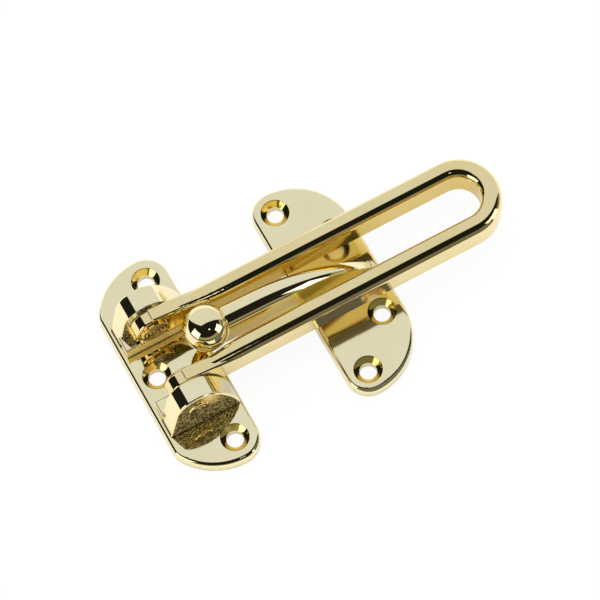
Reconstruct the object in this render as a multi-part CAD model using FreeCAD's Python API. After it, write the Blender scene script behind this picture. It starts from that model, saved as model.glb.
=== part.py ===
import FreeCAD, Part
import math
import os

from FreeCAD import Vector

os.makedirs("parts", exist_ok=True)

# Swing bar door guard, in millimetres.
# The origin is the centre of the hinge plate's back. X runs from the hinge to the loop end of the bar,
# Y runs along both plates and Z points away from the door.

# Plates: flat castings with rounded top edges and countersunk screw holes
plate_thickness = 4.0
plate_edge_round = 1.3
screw_hole_radius = 2.45
countersink_radius = 4.05

hinge_plate_width = 23.5
hinge_plate_length = 66.6
hinge_corner_radius = 6.9
hinge_sweep_radius = 18.5
hinge_blend_radius = 5.0
middle_hole_x = -5.4

strike_plate_x = 39.5
strike_plate_width = 24.4
strike_plate_length = 66.8
strike_corner_radius = 6.5
inner_hole_x = 57.65
inner_hole_y = 13.8

# Pivot line of the bar, and the two knuckles that carry it
pivot_x = -0.9
pivot_z = 14.9
knuckle_radius = 6.9
knuckle_foot_left = -10.4
knuckle_foot_right = 11.2
knuckle_width = 5.85
knuckle_rim_round = 0.5
flank_curve_angle = 16.0

# Swing bar: a closed loop of even height with a round eye on each leg
leg_width = 5.85
bar_height = 9.5
bar_top_round = 2.5
eye_top_round = 1.5
bar_bottom_round = 0.6
loop_centre_x = 89.7
slot_clearance = 2.5
eye_radius = 6.1
eye_rim_round = 0.6
eye_step = 0.7
eye_step_round = 0.45
widening_start_x = 1.0
widening_end_x = 21.0
shoulder_end_x = 24.0

# Pads on the hinge plate that the eyes sit over
pad_left = -10.0
pad_right = 8.4
pad_setback = 0.4
pad_edge_round = 0.5
eye_pad_clearance = 0.3

# Headed hinge pins, pressed into the knuckles, and the friction washers on them
pin_radius = 3.0
pin_head_radius = 4.2
pin_head_thickness = 0.7
pin_end_proud = 0.25
pin_edge_round = 0.2
press_clearance = 0.01
running_clearance = 0.05
washer_outer_radius = 5.5
washer_thickness = 0.4
side_play = 0.05

# Arm of the strike plate: a deep neck with a round top that runs level through the slot, then curves down
# to the plate. Its sides are cut back from the bend on, so that it ends in a narrow fin.
arm_radius = 3.6
arm_depth = 8.0
arm_bottom_round = 1.0
arm_bend_x = 26.0
arm_bend_z = 17.9
arm_tip_setback = 2.2
arm_tip_half_width = 0.9
arm_foot_round = 0.5

# Ball: turned knob with a plain shank pressed into the arm
ball_x = 11.1
ball_z = 18.6
ball_radius = 6.5
ball_clearance = 1.4
shank_radius = 1.6
shank_length = 11.5

# Sizes that follow from the ones above
hinge_half_width = hinge_plate_width / 2
hinge_half_length = hinge_plate_length / 2
hinge_hole_x = hinge_half_width - hinge_corner_radius
hinge_hole_y = hinge_half_length - hinge_corner_radius
strike_far_x = strike_plate_x + strike_plate_width
strike_half_length = strike_plate_length / 2
strike_sweep_radius = strike_plate_width - strike_corner_radius
strike_hole_x = strike_plate_x + strike_corner_radius
strike_hole_y = strike_half_length - strike_corner_radius
slot_half_width = arm_radius + slot_clearance
eye_half_gap = ball_radius + ball_clearance
bar_half_width = slot_half_width + leg_width
knuckle_inner_y = bar_half_width + washer_thickness + 2 * side_play
knuckle_outer_y = knuckle_inner_y + knuckle_width
pad_inner_y = eye_half_gap + pad_setback
bar_half_height = bar_height / 2
bar_bottom_z = pivot_z - bar_half_height
bar_top_z = pivot_z + bar_half_height
pad_top_z = pivot_z - eye_radius - eye_pad_clearance
pin_hole_radius = pin_radius + running_clearance
down = Vector(0, 0, -1)
along_y = Vector(0, 1, 0)


def arc(start, middle, end):
    return Part.Arc(start, middle, end).toShape()


def line(start, end):
    return Part.LineSegment(start, end).toShape()


def plate(tight_x, far_x, half_length, corner, sweep):
    """Plate with tight corners on one long edge and sweeping rounds toward the other."""
    side = math.copysign(1, far_x - tight_x)
    centre_x = tight_x + side * corner
    sweep_drop = math.sqrt(max(sweep ** 2 - (far_x - centre_x) ** 2, 0))
    far_y = half_length - sweep + sweep_drop
    half = math.radians(45)
    corner_mid_x = centre_x - side * corner * math.sin(half)
    corner_mid_y = half_length - corner + corner * math.cos(half)
    turn = math.asin(min(abs(far_x - centre_x) / sweep, 1)) / 2
    sweep_mid_x = centre_x + side * sweep * math.sin(turn)
    sweep_mid_y = half_length - sweep + sweep * math.cos(turn)
    tight_y = half_length - corner
    edges = [
        line(Vector(tight_x, tight_y), Vector(tight_x, -tight_y)),
        line(Vector(far_x, -far_y), Vector(far_x, far_y)),
    ]
    for end in (1, -1):
        tip = Vector(centre_x, end * half_length)
        corner_middle = Vector(corner_mid_x, end * corner_mid_y)
        sweep_middle = Vector(sweep_mid_x, end * sweep_mid_y)
        edges.append(arc(Vector(tight_x, end * tight_y), corner_middle, tip))
        edges.append(arc(tip, sweep_middle, Vector(far_x, end * far_y)))
    outline = Part.Wire(Part.__sortEdges__(edges))
    return Part.Face(outline).extrude(Vector(0, 0, plate_thickness))


def edges_at(shape, axis, value):
    """Edges that lie wholly at one value of X, Y or Z."""
    low = {"x": "XMin", "y": "YMin", "z": "ZMin"}[axis]
    high = {"x": "XMax", "y": "YMax", "z": "ZMax"}[axis]
    found = []
    for edge in shape.Edges:
        box = edge.BoundBox
        if abs(getattr(box, low) - value) < 1e-3 and abs(getattr(box, high) - value) < 1e-3:
            found.append(edge)
    return found


def round_plate_top(shape):
    return shape.makeFillet(plate_edge_round, edges_at(shape, "z", plate_thickness))


def screw_hole(x, y):
    """Through hole with a ninety-degree countersink, as a solid to take away."""
    depth = countersink_radius - screw_hole_radius
    hole = Part.makeCylinder(screw_hole_radius, 3 * plate_thickness, Vector(x, y, -plate_thickness))
    top = Vector(x, y, plate_thickness)
    sink = Part.makeCone(countersink_radius, screw_hole_radius, depth, top, down)
    return hole.fuse(sink)


def tangent_point(foot, side):
    """Point of the knuckle's round top where a straight flank from its foot touches it."""
    reach = math.hypot(foot.x - pivot_x, foot.z - pivot_z)
    toward = math.atan2(foot.z - pivot_z, foot.x - pivot_x)
    angle = toward + side * math.acos(knuckle_radius / reach)
    return Vector(pivot_x + knuckle_radius * math.cos(angle), 0, pivot_z + knuckle_radius * math.sin(angle))


def flank(foot, side):
    """Curved flank of a knuckle: an arc that leaves the round top smoothly and ends at the foot."""
    pivot = Vector(pivot_x, 0, pivot_z)
    straight = tangent_point(foot, side) - pivot
    angle = math.atan2(straight.z, straight.x) + side * math.radians(flank_curve_angle)
    out = Vector(math.cos(angle), 0, math.sin(angle))
    start = pivot + out * knuckle_radius
    chord = foot - start
    radius = -chord.dot(chord) / (2 * chord.dot(out))
    centre = start - out * radius
    middle = centre + ((start - centre) + (foot - centre)).normalize() * radius
    return start, middle


def knuckle():
    """Half-round knuckle with curved flanks, on the +Y side, sunk a little into the plate."""
    root_z = plate_thickness - plate_edge_round
    left_foot = Vector(knuckle_foot_left, 0, plate_thickness)
    right_foot = Vector(knuckle_foot_right, 0, plate_thickness)
    left = tangent_point(left_foot, -1)
    right, right_middle = flank(right_foot, 1)
    left_root = Vector(knuckle_foot_left, 0, root_z)
    right_root = Vector(knuckle_foot_right, 0, root_z)
    crown = Vector(pivot_x, 0, pivot_z + knuckle_radius)
    outline = [
        line(left_root, left_foot),
        line(left_foot, left),
        arc(left, crown, right),
        arc(right, right_middle, right_foot),
        line(right_foot, right_root),
        line(right_root, left_root),
    ]
    face = Part.Face(Part.Wire(outline))
    face.translate(Vector(0, knuckle_inner_y, 0))
    solid = face.extrude(Vector(0, knuckle_outer_y - knuckle_inner_y, 0))
    rim = []
    for edge in edges_at(solid, "y", knuckle_outer_y):
        if edge.BoundBox.ZMax > plate_thickness + 1:
            rim.append(edge)
    return solid.makeFillet(knuckle_rim_round, rim)


def pad():
    """Raised land under an eye, on the +Y side, joined to the knuckle."""
    root_z = plate_thickness / 2
    depth = knuckle_inner_y + 1 - pad_inner_y
    start = Vector(pad_left, pad_inner_y, root_z)
    solid = Part.makeBox(pad_right - pad_left, depth, pad_top_z - root_z, start)
    top = edges_at(solid, "z", pad_top_z)
    return solid.makeFillet(pad_edge_round, top)


def mirrored(shape):
    return shape.mirror(Vector(0, 0, 0), along_y)


def make_hinge_base():
    left_x = -hinge_half_width
    body = plate(hinge_half_width, left_x, hinge_half_length, hinge_corner_radius, hinge_sweep_radius)
    blends = []
    for edge in edges_at(body, "x", left_x):
        if edge.BoundBox.YLength < 1e-3:
            blends.append(edge)
    body = round_plate_top(body.makeFillet(hinge_blend_radius, blends))
    upper = knuckle().fuse(pad())
    body = body.fuse([upper, mirrored(upper)])
    bore = Part.makeCylinder(
        pin_radius + press_clearance,
        2 * knuckle_outer_y + 2,
        Vector(pivot_x, -knuckle_outer_y - 1, pivot_z),
        along_y,
    )
    holes = [
        screw_hole(hinge_hole_x, hinge_hole_y),
        screw_hole(hinge_hole_x, -hinge_hole_y),
        screw_hole(middle_hole_x, 0),
        bore,
    ]
    return body.cut(holes).removeSplitter()


def widening(y_sign):
    """S-shaped edge where one side of the slot opens out toward the eye, from the eye to the slot."""
    step = (widening_end_x - widening_start_x) / 4
    drop = eye_half_gap - slot_half_width
    radius = (4 * step ** 2 + drop ** 2 / 4) / drop
    sag = radius - math.sqrt(radius ** 2 - step ** 2)
    start = Vector(widening_start_x, y_sign * eye_half_gap)
    first = Vector(widening_start_x + step, y_sign * (eye_half_gap - sag))
    middle = Vector(widening_start_x + 2 * step, y_sign * (eye_half_gap - drop / 2))
    last = Vector(widening_end_x - step, y_sign * (slot_half_width + sag))
    end = Vector(widening_end_x, y_sign * slot_half_width)
    return [arc(start, first, middle), arc(middle, last, end)]


def top_round_at(point):
    """Radius of the top edge at a point: it eases off along the slot's inner edge toward the eyes."""
    if abs(point.y) > bar_half_width - 1e-3:
        return bar_top_round
    along = (point.x - widening_start_x) / (widening_end_x - widening_start_x)
    return eye_top_round + (bar_top_round - eye_top_round) * min(max(along, 0), 1)


def round_bar_top(solid):
    document = FreeCAD.newDocument()
    blank = document.addObject("Part::Feature", "blank")
    blank.Shape = solid
    rounded = document.addObject("Part::Fillet", "rounded")
    rounded.Base = blank
    edges = []
    for number, edge in enumerate(blank.Shape.Edges, 1):
        box = edge.BoundBox
        if abs(box.ZMin - bar_top_z) < 1e-3 and box.XMax > pivot_x + 1:
            first = edge.valueAt(edge.FirstParameter)
            last = edge.valueAt(edge.LastParameter)
            edges.append((number, top_round_at(first), top_round_at(last)))
    rounded.Edges = edges
    document.recompute()
    return rounded.Shape.copy()


def bar_loop():
    """The loop seen from above, raised to the bar's height, with rounded edges."""
    outer_tip = Vector(loop_centre_x + bar_half_width, 0)
    inner_tip = Vector(loop_centre_x + slot_half_width, 0)
    edges = [
        line(Vector(pivot_x, bar_half_width), Vector(loop_centre_x, bar_half_width)),
        arc(Vector(loop_centre_x, bar_half_width), outer_tip, Vector(loop_centre_x, -bar_half_width)),
        line(Vector(loop_centre_x, -bar_half_width), Vector(pivot_x, -bar_half_width)),
        line(Vector(pivot_x, -bar_half_width), Vector(pivot_x, -eye_half_gap)),
        line(Vector(pivot_x, -eye_half_gap), Vector(widening_start_x, -eye_half_gap)),
        line(Vector(widening_end_x, -slot_half_width), Vector(loop_centre_x, -slot_half_width)),
        arc(Vector(loop_centre_x, -slot_half_width), inner_tip, Vector(loop_centre_x, slot_half_width)),
        line(Vector(loop_centre_x, slot_half_width), Vector(widening_end_x, slot_half_width)),
        line(Vector(widening_start_x, eye_half_gap), Vector(pivot_x, eye_half_gap)),
        line(Vector(pivot_x, eye_half_gap), Vector(pivot_x, bar_half_width)),
    ]
    outline = Part.Wire(Part.__sortEdges__(edges + widening(1) + widening(-1)))
    outline.translate(Vector(0, 0, bar_bottom_z))
    solid = Part.Face(outline).extrude(Vector(0, 0, bar_height))
    bottom = [edge for edge in edges_at(solid, "z", bar_bottom_z) if edge.BoundBox.XMax > pivot_x + 1]
    solid = solid.makeFillet(bar_bottom_round, bottom)
    return round_bar_top(solid)


def eye_shoulder():
    """Front half of the eye on the +Y leg, which tapers into the leg."""
    end_half_height = bar_half_height - bar_top_round - bar_bottom_round
    reach = shoulder_end_x - pivot_x
    slope = math.asin((eye_radius - end_half_height) / math.hypot(reach, end_half_height))
    edges = [line(Vector(pivot_x, 0, pivot_z - eye_radius), Vector(pivot_x, 0, pivot_z + eye_radius))]
    ends = []
    for side in (1, -1):
        crown = Vector(pivot_x, 0, pivot_z + side * eye_radius)
        points = []
        for angle in (slope / 2, slope):
            out = Vector(math.sin(angle), 0, side * math.cos(angle))
            points.append(Vector(pivot_x, 0, pivot_z) + out * eye_radius)
        ends.append(Vector(shoulder_end_x, 0, pivot_z + side * end_half_height))
        edges.append(arc(crown, points[0], points[1]))
        edges.append(line(points[1], ends[-1]))
    edges.append(line(ends[0], ends[1]))
    face = Part.Face(Part.Wire(Part.__sortEdges__(edges)))
    face.translate(Vector(0, eye_half_gap, 0))
    solid = face.extrude(Vector(0, bar_half_width - eye_half_gap, 0))
    steps = [edge for edge in edges_at(solid, "x", pivot_x) if edge.BoundBox.ZLength < 1e-3]
    solid = solid.makeFillet(eye_step_round, steps)
    rims = []
    for edge in edges_at(solid, "y", eye_half_gap) + edges_at(solid, "y", bar_half_width):
        if edge.BoundBox.XMin < shoulder_end_x - 1 and edge.BoundBox.XLength > 1e-3:
            rims.append(edge)
    return solid.makeFillet(eye_rim_round, rims)


def bar_eye():
    """Round eye on the +Y leg, a small step below the shoulder in front of it."""
    width = bar_half_width - eye_half_gap
    barrel = Part.makeCylinder(eye_radius - eye_step, width, Vector(pivot_x, eye_half_gap, pivot_z), along_y)
    rims = edges_at(barrel, "y", eye_half_gap) + edges_at(barrel, "y", bar_half_width)
    return eye_shoulder().fuse(barrel.makeFillet(eye_rim_round, rims))


def make_swing_bar():
    eye = bar_eye()
    body = bar_loop().fuse([eye, mirrored(eye)])
    bore = Part.makeCylinder(
        pin_hole_radius,
        2 * bar_half_width + 2,
        Vector(pivot_x, -bar_half_width - 1, pivot_z),
        along_y,
    )
    return body.cut(bore).removeSplitter()


def make_hinge_pin():
    """Headed pin on the +Y side: the head lies on the eye and the plain end shows on the knuckle."""
    head_y = eye_half_gap - side_play
    length = knuckle_outer_y + pin_end_proud - head_y
    shaft = Part.makeCylinder(pin_radius, length, Vector(pivot_x, head_y, pivot_z), along_y)
    start = Vector(pivot_x, head_y - pin_head_thickness, pivot_z)
    head = Part.makeCylinder(pin_head_radius, pin_head_thickness, start, along_y)
    body = shaft.fuse(head)
    ends = edges_at(body, "y", start.y) + edges_at(body, "y", head_y + length)
    return body.makeFillet(pin_edge_round, ends)


def make_friction_washer():
    start = Vector(pivot_x, bar_half_width + side_play, pivot_z)
    disc = Part.makeCylinder(washer_outer_radius, washer_thickness, start, along_y)
    return disc.cut(Part.makeCylinder(pin_hole_radius, washer_thickness, start, along_y))


def arm_section(centre, upright):
    """Outline of the neck: round above its centre line, with straight sides and a flat underside."""
    near = centre - along_y * arm_radius
    far = centre + along_y * arm_radius
    bottom_near = near - upright * arm_depth
    bottom_far = far - upright * arm_depth
    rise = upright * arm_bottom_round
    inset = along_y * arm_bottom_round
    bulge = 1 - math.sqrt(0.5)
    near_middle = bottom_near + (rise + inset) * bulge
    far_middle = bottom_far + (rise - inset) * bulge
    return Part.Wire([
        arc(far, centre + upright * arm_radius, near),
        line(near, bottom_near + rise),
        arc(bottom_near + rise, near_middle, bottom_near + inset),
        line(bottom_near + inset, bottom_far - inset),
        arc(bottom_far - inset, far_middle, bottom_far + rise),
        line(bottom_far + rise, far),
    ])


def arm():
    """Bent neck with its sides cut to a fin, from inside the ball to inside the plate."""
    start = Vector(ball_x, 0, ball_z)
    seat_x = ball_x + ball_radius / 2
    bend = Vector(arm_bend_x, 0, arm_bend_z)
    tip = Vector(strike_far_x - arm_tip_setback, 0, plate_thickness)
    level = (bend - start).normalize()
    upright = level.cross(along_y).normalize()
    drop = tip - bend
    bend_radius = (drop.dot(drop) - arm_radius ** 2) / (2 * (arm_radius - drop.dot(upright)))
    centre = bend - upright * bend_radius
    base_z = plate_thickness / 2
    turn = math.acos((base_z - arm_radius - centre.z) / bend_radius)
    root = centre + Vector(math.sin(turn), 0, math.cos(turn)) * bend_radius
    middle = centre + ((bend - centre) + (root - centre)).normalize() * bend_radius
    path = Part.Wire([line(start, bend), arc(bend, middle, root)])
    neck = path.makePipeShell([arm_section(start, upright)], True, False)
    sides = [
        Vector(seat_x, -arm_radius, base_z),
        Vector(arm_bend_x, -arm_radius, base_z),
        Vector(tip.x, -arm_tip_half_width, base_z),
        Vector(tip.x, arm_tip_half_width, base_z),
        Vector(arm_bend_x, arm_radius, base_z),
        Vector(seat_x, arm_radius, base_z),
        Vector(seat_x, -arm_radius, base_z),
    ]
    room = Part.Face(Part.makePolygon(sides)).extrude(Vector(0, 0, 2 * ball_z))
    return neck.common(room)


def shank(radius, length):
    return Part.makeCylinder(radius, length, Vector(ball_x, 0, ball_z), Vector(1, 0, 0))


def make_strike_plate():
    body = plate(strike_plate_x, strike_far_x, strike_half_length, strike_corner_radius, strike_sweep_radius)
    body = round_plate_top(body).fuse(arm()).removeSplitter()
    foot = []
    for edge in edges_at(body, "z", plate_thickness):
        box = edge.BoundBox
        if max(abs(box.YMin), abs(box.YMax)) < arm_radius:
            foot.append(edge)
    body = body.makeFillet(arm_foot_round, foot)
    ball = Part.makeSphere(ball_radius + press_clearance, Vector(ball_x, 0, ball_z))
    cuts = [ball, shank(shank_radius + press_clearance, shank_length + press_clearance)]
    for side in (1, -1):
        cuts.append(screw_hole(strike_hole_x, side * strike_hole_y))
        cuts.append(screw_hole(inner_hole_x, side * inner_hole_y))
    return body.cut(cuts).removeSplitter()


def make_strike_ball():
    ball = Part.makeSphere(ball_radius, Vector(ball_x, 0, ball_z))
    return ball.fuse(shank(shank_radius, shank_length)).removeSplitter()


upper_pin = make_hinge_pin()
upper_washer = make_friction_washer()
parts = {
    "hinge_base": make_hinge_base(),
    "swing_bar": make_swing_bar(),
    "upper_hinge_pin": upper_pin,
    "lower_hinge_pin": mirrored(upper_pin),
    "upper_friction_washer": upper_washer,
    "lower_friction_washer": mirrored(upper_washer),
    "strike_plate": make_strike_plate(),
    "strike_ball": make_strike_ball(),
}
for name, shape in parts.items():
    print(name, shape.ShapeType, len(shape.Solids), shape.isValid(), round(shape.Volume, 1))
    shape.Solids[0].exportStep("parts/" + name + ".step")
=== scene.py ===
# %% [markdown]
# # Swing bar door guard in polished brass plate
# The real guard is two cast plates, one for the door and one for its frame. A looped bar swings on two pins
# in the frame plate, and a ball on a curved arm of the door plate runs inside the loop. Everything is
# plated and buffed like a mirror, so this lesson is mostly about giving a mirror something good to show.
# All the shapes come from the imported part, and none of them is changed here.

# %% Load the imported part
import math
from types import SimpleNamespace

import bmesh
import bpy
from mathutils import Matrix, Vector


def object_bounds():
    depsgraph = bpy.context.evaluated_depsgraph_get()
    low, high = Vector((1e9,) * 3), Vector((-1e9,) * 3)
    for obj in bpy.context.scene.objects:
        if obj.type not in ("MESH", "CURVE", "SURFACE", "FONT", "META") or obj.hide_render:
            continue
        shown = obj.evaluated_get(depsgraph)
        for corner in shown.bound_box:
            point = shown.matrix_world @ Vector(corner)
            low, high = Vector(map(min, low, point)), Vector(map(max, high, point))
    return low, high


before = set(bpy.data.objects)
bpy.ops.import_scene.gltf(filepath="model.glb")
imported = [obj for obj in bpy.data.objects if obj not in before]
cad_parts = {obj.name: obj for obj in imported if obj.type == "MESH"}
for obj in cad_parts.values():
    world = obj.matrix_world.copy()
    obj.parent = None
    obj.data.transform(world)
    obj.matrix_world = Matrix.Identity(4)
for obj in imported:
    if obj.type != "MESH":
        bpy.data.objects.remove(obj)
cad_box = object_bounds()
scene = bpy.context.scene
scene.view_settings.view_transform = "Standard"
MM = 0.001
print("nodes:", sorted(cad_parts))


# %% [markdown]
# ## A bench for shader sums
# A finish is a small sum of patterns. Nodes could be wired one line at a time, but the sum is then hard to
# read. Here a socket is wrapped in a class, so that a sum written in Python adds its own Math nodes, and one
# method makes every other node.

# %% Sums of sockets
class Signal:
    """A value that varies over a surface and takes part in sums."""

    def __init__(self, bench, socket):
        self.bench = bench
        self.socket = socket

    def __add__(self, other):
        return self.bench.math("ADD", self, other)

    def __sub__(self, other):
        return self.bench.math("SUBTRACT", self, other)

    def __rsub__(self, other):
        return self.bench.math("SUBTRACT", other, self)

    def __mul__(self, other):
        return self.bench.math("MULTIPLY", self, other)

    def __abs__(self):
        return self.bench.math("ABSOLUTE", self)

    __radd__ = __add__
    __rmul__ = __mul__


# %% The bench itself
class Bench:
    """The node tree of one finish."""

    def __init__(self, tree):
        self.tree = tree
        tree.nodes.clear()

    def add(self, kind, settings=None, sockets=None, out=0):
        """Add a node, with its settings first and then the values or links of its sockets."""
        node = self.tree.nodes.new(kind)
        for name, value in (settings or {}).items():
            setattr(node, name, value)
        for name, value in (sockets or {}).items():
            socket = next(s for s in node.inputs if name in (s.identifier, s.name))
            if isinstance(value, Signal):
                self.tree.links.new(value.socket, socket)
            else:
                socket.default_value = value
        if not node.outputs:
            return node
        if isinstance(out, int):
            return Signal(self, node.outputs[out])
        return Signal(self, next(s for s in node.outputs if out in (s.identifier, s.name)))

    def math(self, operation, first, second=0.0):
        return self.add("ShaderNodeMath", {"operation": operation}, {"Value": first, "Value_001": second})

    def step(self, value, low, high):
        """0 below low, 1 above high and a smooth rise between."""
        return self.add("ShaderNodeMapRange", {"interpolation_type": "SMOOTHSTEP"},
                        {"Value": value, "From Min": low, "From Max": high})

    def fall(self, value, low, high):
        """1 below low, 0 above high and a smooth fall between."""
        return 1 - self.step(value, low, high)

    def colour(self, first, second, amount):
        """Mix from the first colour, which may vary itself, to the second."""
        if not isinstance(first, Signal):
            first = (*first, 1.0)
        return self.add("ShaderNodeMix", {"data_type": "RGBA"},
                        {"Factor_Float": amount, "A_Color": first, "B_Color": (*second, 1.0)}, "Result_Color")

    def noise(self, place, scale, detail=2.0):
        return self.add("ShaderNodeTexNoise", {}, {"Vector": place, "Scale": scale, "Detail": detail}, "Fac")

    def axis(self, vector, name):
        return self.add("ShaderNodeSeparateXYZ", {}, {"Vector": vector}, name)


def new_finish(name):
    material = bpy.data.materials.new(name)
    material.use_nodes = True
    return material, Bench(material.node_tree)


print("bench ready")


# %% [markdown]
# ## Places on a casting
# The buffing wheel reaches the tops and the rounded edges of the real guard, but hardly its upright walls and
# the corners between pieces. These places could be painted on each mesh by hand, and would then have to be
# painted again after each change of shape. Here they follow from the way a face looks and from where it
# lies. The upright part of the normal tells tops, countersinks and walls apart, and the height tells the
# plates from what stands on them.

# %% Find the places
PLATE_TOP = 4.0 * MM
COUNTERSINK_UPRIGHT = math.sqrt(0.5)
SLOT_END = 97.0 * MM
DEEP_SLOT = (58.0 * MM, 72.0 * MM)


def find_places(bench, place, recess_half):
    """Masks of the places that a finish treats in its own way."""
    upright = abs(bench.axis(bench.add("ShaderNodeTexCoord", {}, {}, "Normal"), "Z"))
    ahead, across, lift = (bench.axis(place, name) for name in "XYZ")

    steep = bench.fall(upright, 0.10, 0.30)
    raised = steep * bench.step(lift, PLATE_TOP - 0.2 * MM, PLATE_TOP)
    # Thin band at the foot of a raised wall, which gets a line of painted shade.
    crease_shade = raised * bench.fall(lift, PLATE_TOP + 0.2 * MM, PLATE_TOP + 1.2 * MM)

    sink = bench.fall(abs(upright - COUNTERSINK_UPRIGHT), 0.01, 0.03)
    sink = sink * bench.fall(lift, PLATE_TOP + 0.05 * MM, PLATE_TOP + 0.15 * MM)
    # Top edge of a countersink, which gets a line of painted shade.
    rim_shade = sink * bench.step(lift, PLATE_TOP - 0.4 * MM, PLATE_TOP - 0.1 * MM)

    level = bench.step(upright, 0.96, 0.99)
    plate_top = level * bench.fall(lift, PLATE_TOP + 0.1 * MM, PLATE_TOP + 0.4 * MM)

    inside = bench.fall(abs(across), recess_half, recess_half + 0.2 * MM)
    inside = inside * bench.fall(ahead, SLOT_END, SLOT_END + 0.5 * MM)
    # Recesses get the rich gold of painted reflection, light going from wall to wall; less of it past the
    # plates, where the slot is open.
    recess = raised * inside * (1 - 0.3 * bench.step(ahead, *DEEP_SLOT))
    return SimpleNamespace(steep=steep, raised=raised, crease_shade=crease_shade, sink=sink, rim_shade=rim_shade,
                           wall=steep + 0.2 * sink, plate_top=plate_top, recess=recess)


print("plates end at", PLATE_TOP / MM, "mm")


# %% [markdown]
# ## Marks of the mould, the wheel and the lathe
# The walls keep the grain of the mould and small pits in patches. A buffed top carries faint marks of the
# wheel and is never optically flat, and the ends of the pins keep their turning rings. Such marks could be
# modelled, but they are far finer than the mesh, so each is a noise or a wave at its real size.

# %% Draw the marks
PIN_AXIS = (-0.9 * MM, 0.0, 14.9 * MM)
RING_PITCH = 1.1 * MM
WHEEL_STRETCH = (700.0, 5200.0, 5200.0)


def draw_marks(bench, place):
    """The patterns that a finish is summed from."""
    drift = bench.noise(place, 90.0)
    stretched = bench.add("ShaderNodeMapping", {}, {"Vector": place, "Scale": WHEEL_STRETCH})
    from_axis = bench.add("ShaderNodeMapping", {}, {
        "Vector": place, "Location": [-v for v in PIN_AXIS], "Scale": (1.0, 0.0, 1.0)})
    radius = bench.add("ShaderNodeVectorMath", {"operation": "LENGTH"}, {"Vector": from_axis}, "Value")
    return SimpleNamespace(
        drift=drift,
        wheel=bench.step(bench.noise(stretched, 1.0), 0.5, 0.8) * drift,
        speckle=bench.noise(place, 2600.0, 3.0),
        pits=0.1 + 0.9 * bench.step(bench.noise(place, 1300.0), 0.47, 0.60),
        waves=bench.noise(place, 240.0, 1.0),
        rings=bench.math("SINE", radius * (2 * math.pi / RING_PITCH)),
    )


print("turning rings every", round(RING_PITCH / MM, 2), "mm")


# %% [markdown]
# ## Mirror brass
# Thin brass plate on a buffed casting is pale where it shows the sheet once and rich gold in a recess, where
# light goes from wall to wall. One gloss and one colour all over would look like a computer's chrome. So the
# places set the gloss and the colour: walls are less bright, and recesses and countersinks get a richer gold
# as a painted reflection of the light that goes from wall to wall. The foot of a wall and the top edge of a
# countersink get a thin dark line of painted shade.

# %% Mix the brass
NO_RECESS = -1.0 * MM
WAVE_HEIGHT = 0.012
WHEEL_HAZE = 0.04
# Colour of the painted shade line at the foot of walls and at the top edge of countersinks.
PAINTED_SHADE_LINE = (0.10, 0.07, 0.02)


def brass(name, pale, deep, gloss, wall_gloss, grain, recess_half=NO_RECESS, rich=(1.0, 1.0, 1.0),
          dull=0.0, tint=0.0, pitted=0.0, satin=0.1, haze=0.0, rings=0.0):
    """One metal finish.

    pale, deep: colours that drift over the surface; rich: painted reflection colour of recesses and
    countersinks gloss, wall_gloss: roughness of buffed faces and of walls; haze: more of it on the plate's top
    grain, rings: height of the mould's grain on walls and of turning rings
    recess_half: half width of the recess along the guard's middle
    dull, satin, pitted: how much less metallic recesses, walls and pits are; tint: how much of the rich
    painted reflection colour goes on raised walls
    """
    material, bench = new_finish(name)
    place = bench.add("ShaderNodeTexCoord", {}, {}, "Object")
    spot = find_places(bench, place, recess_half)
    mark = draw_marks(bench, place)

    height = WAVE_HEIGHT * mark.waves + grain * spot.wall * mark.speckle + rings * mark.rings
    tone = bench.colour(deep, pale, bench.step(mark.drift, 0.3, 0.7))
    # Painted reflection: recesses, countersinks and raised walls turn to the rich gold that light going from
    # wall to wall gives.
    tone = bench.colour(tone, rich, spot.recess + 0.8 * spot.sink + tint * spot.raised)
    shader = bench.add("ShaderNodeBsdfPrincipled", {}, {
        # Painted shade: a thin dark line at the foot of walls and at the top edge of countersinks.
        "Base Color": bench.colour(tone, PAINTED_SHADE_LINE, 0.85 * spot.crease_shade + 0.6 * spot.rim_shade),
        "Metallic": 1 - spot.steep * (satin + pitted * mark.pits) - dull * spot.recess,
        "Roughness": (gloss + (wall_gloss - gloss) * spot.wall
                      + WHEEL_HAZE * mark.wheel + haze * spot.plate_top),
        "Normal": bench.add("ShaderNodeBump", {}, {"Strength": 1.0, "Distance": MM, "Height": height}),
    })
    bench.add("ShaderNodeOutputMaterial", {}, {"Surface": shader})
    return material


print("brass mixed")


# %% [markdown]
# ## A finish for each piece
# Both plates have the same plating. The hinge plate has rough, pitted walls on its knuckles, and the strike
# plate is a little hazier on top. The bar is buffed all round and has a deeper colour, and the ball is the
# brightest piece. The pins show turned ends, and the washers are bare grey metal. One finish could do for
# all, but then the pieces would run into each other.

# %% Finish the pieces
# The rich colour of each finish is painted reflection, the deeper gold of light bouncing between walls, not
# the colour of the brass.
plate_colours = {"pale": (0.915, 0.815, 0.500), "deep": (0.900, 0.790, 0.460)}
hinge_brass = brass(
    "hinge_brass", **plate_colours, gloss=0.045, wall_gloss=0.18, grain=0.030,
    recess_half=8.6 * MM, rich=(1.0, 0.77, 0.24), dull=0.9, tint=0.7, pitted=0.36, satin=0.0)
strike_brass = brass(
    "strike_brass", **plate_colours, gloss=0.05, wall_gloss=0.12, grain=0.006,
    recess_half=3.7 * MM, rich=(0.95, 0.71, 0.11), dull=0.6, haze=0.035)
bar_brass = brass(
    "bar_brass", pale=(0.870, 0.725, 0.370), deep=(0.845, 0.695, 0.330), gloss=0.03, wall_gloss=0.10,
    grain=0.002, recess_half=8.2 * MM, rich=(0.72, 0.505, 0.065), satin=0.15)
ball_brass = brass(
    "ball_brass", pale=(0.900, 0.790, 0.450), deep=(0.890, 0.770, 0.420), gloss=0.03, wall_gloss=0.04,
    grain=0.0)
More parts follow.
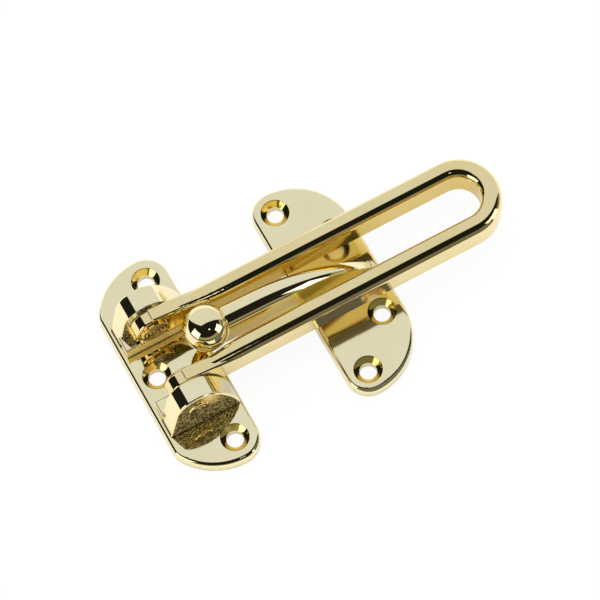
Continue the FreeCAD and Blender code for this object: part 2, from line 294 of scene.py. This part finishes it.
pin_brass = brass(
    "pin_brass", pale=(0.890, 0.690, 0.270), deep=(0.850, 0.640, 0.220), gloss=0.08, wall_gloss=0.10,
    grain=0.004, rings=0.05)
washer_steel = brass(
    "washer_steel", pale=(0.62, 0.61, 0.58), deep=(0.52, 0.51, 0.49), gloss=0.18, wall_gloss=0.24,
    grain=0.004)
finishes = {
    "hinge_base": hinge_brass,
    "swing_bar": bar_brass,
    "strike_plate": strike_brass,
    "strike_ball": ball_brass,
    "upper_hinge_pin": pin_brass,
    "lower_hinge_pin": pin_brass,
    "upper_friction_washer": washer_steel,
    "lower_friction_washer": washer_steel,
}
for node, finish in finishes.items():
    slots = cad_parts[node].data.materials
    slots.clear()
    slots.append(finish)
print("finished nodes:", len(finishes))


# %% [markdown]
# ## Floor
# The guard lies on a white sweep. A plain white floor would come out grey beside the lit brass, and more light
# would burn out the brass. So the floor glows white to the camera, glows in part for the rays that metal and
# glass send out, and is otherwise a matt white that takes the shadow.

# %% Lay the floor
FLOOR_REACH = 3.0
FLOOR_GAP = 0.2 * MM
CAMERA_GLOW = 0.92
MIRROR_GLOW = 0.3


def add_panel(name, corners):
    mesh = bpy.data.meshes.new(name)
    mesh.from_pydata(corners, [], [(0, 1, 2, 3)])
    panel = bpy.data.objects.new(name, mesh)
    scene.collection.objects.link(panel)
    return panel


floor_z = cad_box[0][2] - FLOOR_GAP
floor = add_panel("floor", [(x * FLOOR_REACH, y * FLOOR_REACH, floor_z)
                            for x, y in ((-1, -1), (1, -1), (1, 1), (-1, 1))])
floor_finish, bench = new_finish("white_sweep")
seen = (CAMERA_GLOW * bench.add("ShaderNodeLightPath", {}, {}, "Is Camera Ray")
        + MIRROR_GLOW * bench.add("ShaderNodeLightPath", {}, {}, "Is Glossy Ray")
        + MIRROR_GLOW * bench.add("ShaderNodeLightPath", {}, {}, "Is Transmission Ray"))
matt = bench.add("ShaderNodeBsdfDiffuse", {}, {"Color": (0.85, 0.85, 0.85, 1.0)})
glow = bench.add("ShaderNodeEmission", {}, {"Color": (1.0, 1.0, 1.0, 1.0), "Strength": 1.0})
bench.add("ShaderNodeOutputMaterial", {}, {
    "Surface": bench.add("ShaderNodeMixShader", {}, {"Fac": seen, "Shader": matt, "Shader_001": glow}),
})
floor.data.materials.append(floor_finish)
print("floor at", round(floor_z / MM, 2), "mm")


# %% [markdown]
# ## Studio tent
# A mirror shows the room, so the room is the paint. A product studio hangs a pale sheet over and behind the
# object and black cloth in front of it, which draws the dark lines along the rounded edges. A dim strip low
# in front is the far end of the table, and two softboxes and a small lamp give the white patches on the
# ball. Cards could do the same, but their places would have to be found one by one. The tent here is one
# dome, and its pattern is written by direction.

# %% Raise the tent
TENT_RADIUS = 2.0

tent_mesh = bpy.data.meshes.new("studio_tent")
shell = bmesh.new()
bmesh.ops.create_uvsphere(shell, u_segments=64, v_segments=32, radius=TENT_RADIUS)
shell.to_mesh(tent_mesh)
shell.free()
tent = bpy.data.objects.new("studio_tent", tent_mesh)
scene.collection.objects.link(tent)
print("tent of", len(tent_mesh.polygons), "panels")

# %% Directions and softboxes on the tent
BOX_EDGE = 0.01

tent_finish, bench = new_finish("tent_cloth")
way = bench.add("ShaderNodeVectorMath", {"operation": "NORMALIZE"},
                {"Vector": bench.add("ShaderNodeNewGeometry", {}, {}, "Position")})


def along(direction):
    """How far the way to a place on the tent runs along one direction."""
    return bench.add("ShaderNodeVectorMath", {"operation": "DOT_PRODUCT"},
                     {"Vector": way, "Vector_001": Vector(direction).normalized()}, "Value")


def softbox(toward, half_wide, half_high):
    """Mask of an upright lit rectangle on the tent, with its half sizes as parts of the radius."""
    out = Vector(toward).normalized()
    side = Vector((0, 0, 1)).cross(out).normalized()
    top = out.cross(side)
    wide = bench.fall(abs(along(side)), half_wide - BOX_EDGE, half_wide + BOX_EDGE)
    high = bench.fall(abs(along(top)), half_high - BOX_EDGE, half_high + BOX_EDGE)
    return bench.step(along(out), 0.0, 0.1) * wide * high


print("softboxes with edges of", BOX_EDGE)

# %% Hang the cloth
BLACK_CLOTH = (0.013, 0.013, 0.012)
PALE_SHEET = (0.80, 0.84, 0.95)
TABLE_STRIP = (0.34, 0.32, 0.20)
LIT_BOX = (2.0, 2.0, 2.0)

back = along((0.0, 1.0, 0.0))
up = along((0.0, 0.0, 1.0))
behind = bench.step(back, -0.03, 0.03)
over = bench.step(along((0.79, 0.0, 0.616)) + 0.8 * back, 0.26, 0.32)
strip = bench.step(up, 0.10, 0.14) * bench.fall(up, 0.34, 0.38) * (1 - behind)
left_box = softbox((-0.91, -0.19, 0.37), 0.32, 0.26)
right_box = softbox((0.74, -0.60, 0.30), 0.25, 0.32)
small_lamp = softbox((0.08, -0.55, 0.83), 0.05, 0.05)
pattern = bench.colour(BLACK_CLOTH, PALE_SHEET, behind * over)
pattern = bench.colour(pattern, TABLE_STRIP, strip)
pattern = bench.colour(pattern, LIT_BOX, left_box + right_box + small_lamp)
bench.add("ShaderNodeOutputMaterial", {}, {
    "Surface": bench.add("ShaderNodeEmission", {}, {"Color": pattern, "Strength": 1.0}),
})
tent_mesh.materials.append(tent_finish)
print("cloth of", len(tent_finish.node_tree.nodes), "nodes")


# %% [markdown]
# ## Grey flag
# The near leg of the bar has a grey band under its black line. In a studio that is a small card, a flag, that
# stands close in front. It could be one more patch of the tent, but the ball would show that too. A low card
# beside the leg is seen only from there. The tent and the flag show in reflections alone, as a photographer
# keeps such things out of the frame.

# %% Set up the flag
FLAG_Y = -40.0 * MM
FLAG_CORNERS = ((15, 0), (125, 0), (125, 28), (15, 28))

flag = add_panel("grey_flag", [(x * MM, FLAG_Y, z * MM) for x, z in FLAG_CORNERS])
flag_finish, bench = new_finish("flag_cloth")
bench.add("ShaderNodeOutputMaterial", {}, {
    "Surface": bench.add("ShaderNodeEmission", {}, {"Color": (0.18, 0.18, 0.17, 1.0), "Strength": 1.0}),
})
flag.data.materials.append(flag_finish)
for cloth in (tent, flag):
    cloth.visible_camera = False
    cloth.visible_diffuse = False
    cloth.visible_shadow = False
print("flag at", FLAG_Y / MM, "mm")


# %% [markdown]
# ## Light
# One wide lamp overhead makes the soft shadow. A small lamp would draw a hard one. It stays out of the
# reflections, because the tent gives those, and a plain white world fills in the rest.

# %% Set the light
LAMP_PLACE = Vector((0.1, 0.2, 1.2))
LAMP_AIM = Vector((0.045, 0.0, 0.0))

world = bpy.data.worlds.new("studio")
scene.world = world
world.use_nodes = True
bench = Bench(world.node_tree)
bench.add("ShaderNodeOutputWorld", {}, {
    "Surface": bench.add("ShaderNodeBackground", {}, {"Color": (1.0, 1.0, 1.0, 1.0), "Strength": 1.0}),
})
lamp_data = bpy.data.lights.new("overhead_sheet", "AREA")
lamp_data.shape = "DISK"
lamp_data.size = 0.7
lamp_data.energy = 6.0
overhead = bpy.data.objects.new("overhead_sheet", lamp_data)
overhead.location = LAMP_PLACE
overhead.rotation_euler = (LAMP_PLACE - LAMP_AIM).to_track_quat("Z", "Y").to_euler()
overhead.visible_glossy = False
scene.collection.objects.link(overhead)
print("lamp of", lamp_data.energy, "W")


# %% [markdown]
# ## Camera
# The camera looks down on the guard from the hinge end, turned a little. Its place could be set by eye, but
# in a mirror finish a few degrees move every reflection, so the numbers come from a fit of the plates, the
# holes and the bar. It stands as far off as the slight perspective asks.

# %% Set the camera
CAMERA_PLACE = Vector((-93.09, -318.03, 832.76)) * MM
AZIMUTH, ELEVATION, ROLL = (math.radians(angle) for angle in (-22.619, 67.408, -6.363))

camera_data = bpy.data.cameras.new("camera")
camera_data.sensor_width = 36.0
camera_data.lens = 194.83
camera = bpy.data.objects.new("camera", camera_data)
scene.collection.objects.link(camera)
camera.matrix_world = (
    Matrix.Translation(CAMERA_PLACE)
    @ Matrix.Rotation(AZIMUTH, 4, "Z")
    @ Matrix.Rotation(math.radians(90) - ELEVATION, 4, "X")
    @ Matrix.Rotation(ROLL, 4, "Z")
)
scene.camera = camera
print("camera at", [round(v, 3) for v in CAMERA_PLACE])
